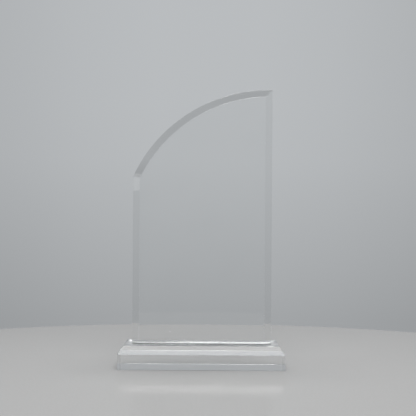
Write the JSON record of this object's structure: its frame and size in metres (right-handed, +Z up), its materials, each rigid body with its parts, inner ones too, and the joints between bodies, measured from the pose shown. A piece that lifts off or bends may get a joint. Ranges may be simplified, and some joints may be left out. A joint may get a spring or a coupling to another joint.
{
  "type": "crystal award",
  "caption": "Clear crystal award: an upright plaque with an arched top rising to one side and a bevelled front edge, bonded to a low rectangular base with a bevelled top.",
  "frame": {"origin": "middle of the base's underside, on the surface that the award stands on", "axes": "+Z up; -Y the way the award faces, so the bevelled side of the plaque looks along -Y; +X to the right seen from the front, towards the plaque's tall side"},
  "size_m": [0.13, 0.05, 0.2189],
  "materials": {
    "plaque_crystal": "clear, polished, faintly cool",
    "base_crystal": "clear, polished, faintly cool",
    "cured_adhesive": "translucent whitish cured film"
  },
  "bodies": {
    "root": {"plaque": "plaque_crystal", "base": "base_crystal", "bond_film": "cured_adhesive"}
  },
  "joints": []
}
